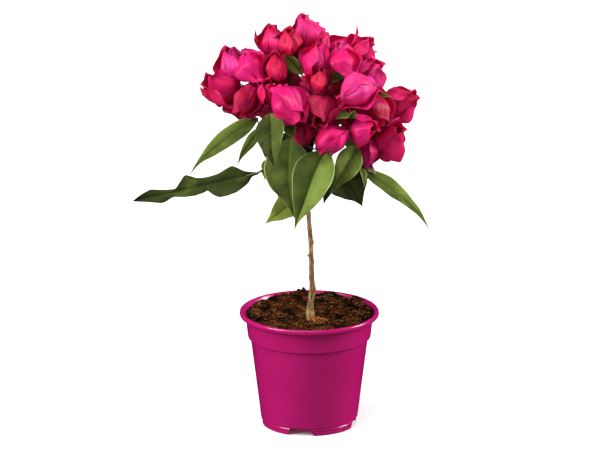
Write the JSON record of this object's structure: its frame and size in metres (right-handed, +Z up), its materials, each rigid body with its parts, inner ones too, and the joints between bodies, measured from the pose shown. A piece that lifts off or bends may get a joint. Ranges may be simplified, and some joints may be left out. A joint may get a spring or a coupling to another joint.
{
  "type": "potted bougainvillea bush",
  "caption": "Small bougainvillea standard: one bare woody stem with a round head of magenta bracts over hanging leaves, in a round lipped nursery pot filled with peat.",
  "frame": {"origin": "on the pot's axis, at the floor that its feet and the pad under its middle stand on", "axes": "+Z up along the pot's axis; +Y away from the front, which carries the largest blossoms; +X to the right of that front, opposite the longest leaf"},
  "size_m": [0.2703, 0.1691, 0.3984],
  "materials": {
    "pot": "moulded, semi-gloss",
    "soil": "moist peat compost, matt and fibrous",
    "bark": "ridged woody bark, matt",
    "leaf": "leathery, slight sheen",
    "bract": "papery, matt, lets light through"
  },
  "bodies": {
    "root": {"pot": "pot", "soil": "soil", "trunk": "bark", "bough_left": "bark", "bough_upper_left": "bark", "bough_top": "bark", "bough_front": "bark", "bough_upper_right": "bark", "bough_right": "bark", "bough_lower_right": "bark", "bough_front_left": "bark", "bough_front_right": "bark", "bough_back_top": "bark", "bough_back_left": "bark", "bough_back_right": "bark", "bough_back": "bark", "bough_back_low": "bark", "bough_back_low_right": "bark", "leaves_left": "leaf", "leaves_front": "leaf", "leaves_right": "leaf", "leaves_back_left": "leaf", "leaves_back_right": "leaf", "blossom_left": "bract", "blossom_upper_left": "bract", "blossom_top": "bract", "blossom_front": "bract", "blossom_upper_right": "bract", "blossom_right": "bract", "blossom_lower_right": "bract", "blossom_front_left": "bract", "blossom_front_right": "bract", "blossom_back_top": "bract", "blossom_back_left": "bract", "blossom_back_right": "bract", "blossom_back": "bract", "blossom_back_low": "bract", "blossom_back_low_right": "bract"}
  },
  "joints": []
}
